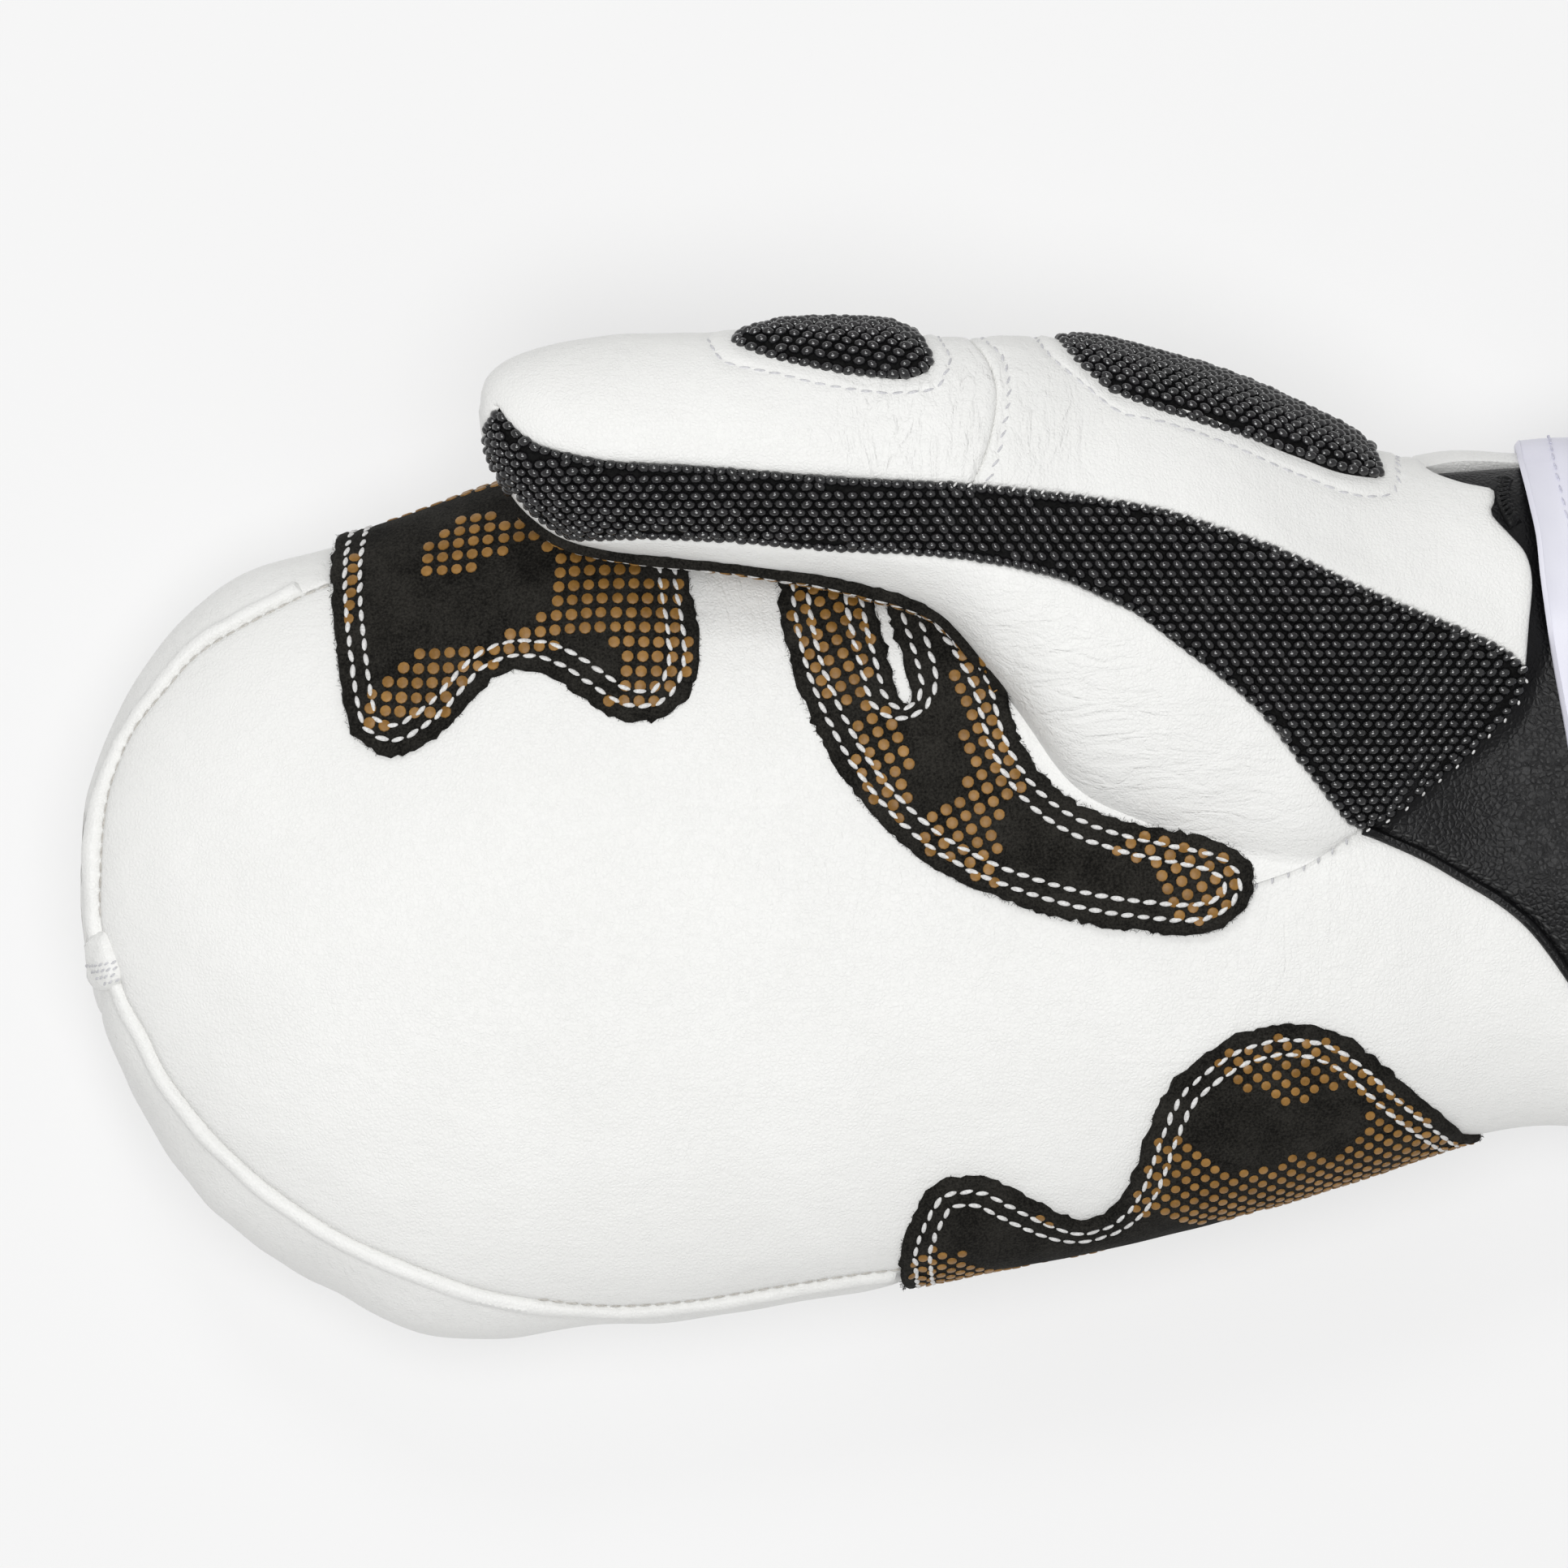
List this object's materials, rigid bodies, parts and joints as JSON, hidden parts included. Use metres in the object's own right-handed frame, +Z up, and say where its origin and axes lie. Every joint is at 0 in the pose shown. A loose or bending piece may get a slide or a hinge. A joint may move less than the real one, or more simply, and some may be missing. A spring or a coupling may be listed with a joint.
{
  "type": "ski racing glove",
  "caption": "Right-hand ski racing glove of mitten form, lying on its back: padded leather hand and thumb, dotted suede grips, mesh inserts, wrist strap and open cuff.",
  "frame": {"origin": "middle of the footprint, on the surface that the glove lies on", "axes": "+X from the fingertips to the cuff, +Y towards the thumb, +Z up out of the palm"},
  "size_m": [0.2804, 0.1564, 0.0678],
  "materials": {
    "white_leather": "smooth white goatskin, semi-matt",
    "black_leather": "grained black leather, satin",
    "black_suede": "matt black suede with tan silicone grip dots",
    "black_mesh": "glossy beaded black fabric",
    "white_fabric": "smooth stretch binding"
  },
  "bodies": {
    "root": {"back_panel": "white_leather", "palm_panel": "white_leather", "edge_gusset": "white_leather", "wrist_panel": "black_leather", "thumb_tip_panel": "white_leather", "thumb_base_panel": "white_leather", "thumb_under_panel": "white_leather", "thumb_stripe": "black_mesh", "knuckle_pad": "black_mesh", "thumb_base_pad": "black_mesh", "index_patch": "black_suede", "crotch_patch": "black_suede", "heel_patch": "black_suede", "thumb_grip": "black_suede", "edge_welt": "white_leather", "wrist_piping": "black_leather", "strap_front_binding": "white_fabric", "strap_body": "black_leather", "strap_rear_binding": "white_fabric", "cuff_gauntlet": "black_leather", "cuff_rim": "black_leather"}
  },
  "joints": []
}
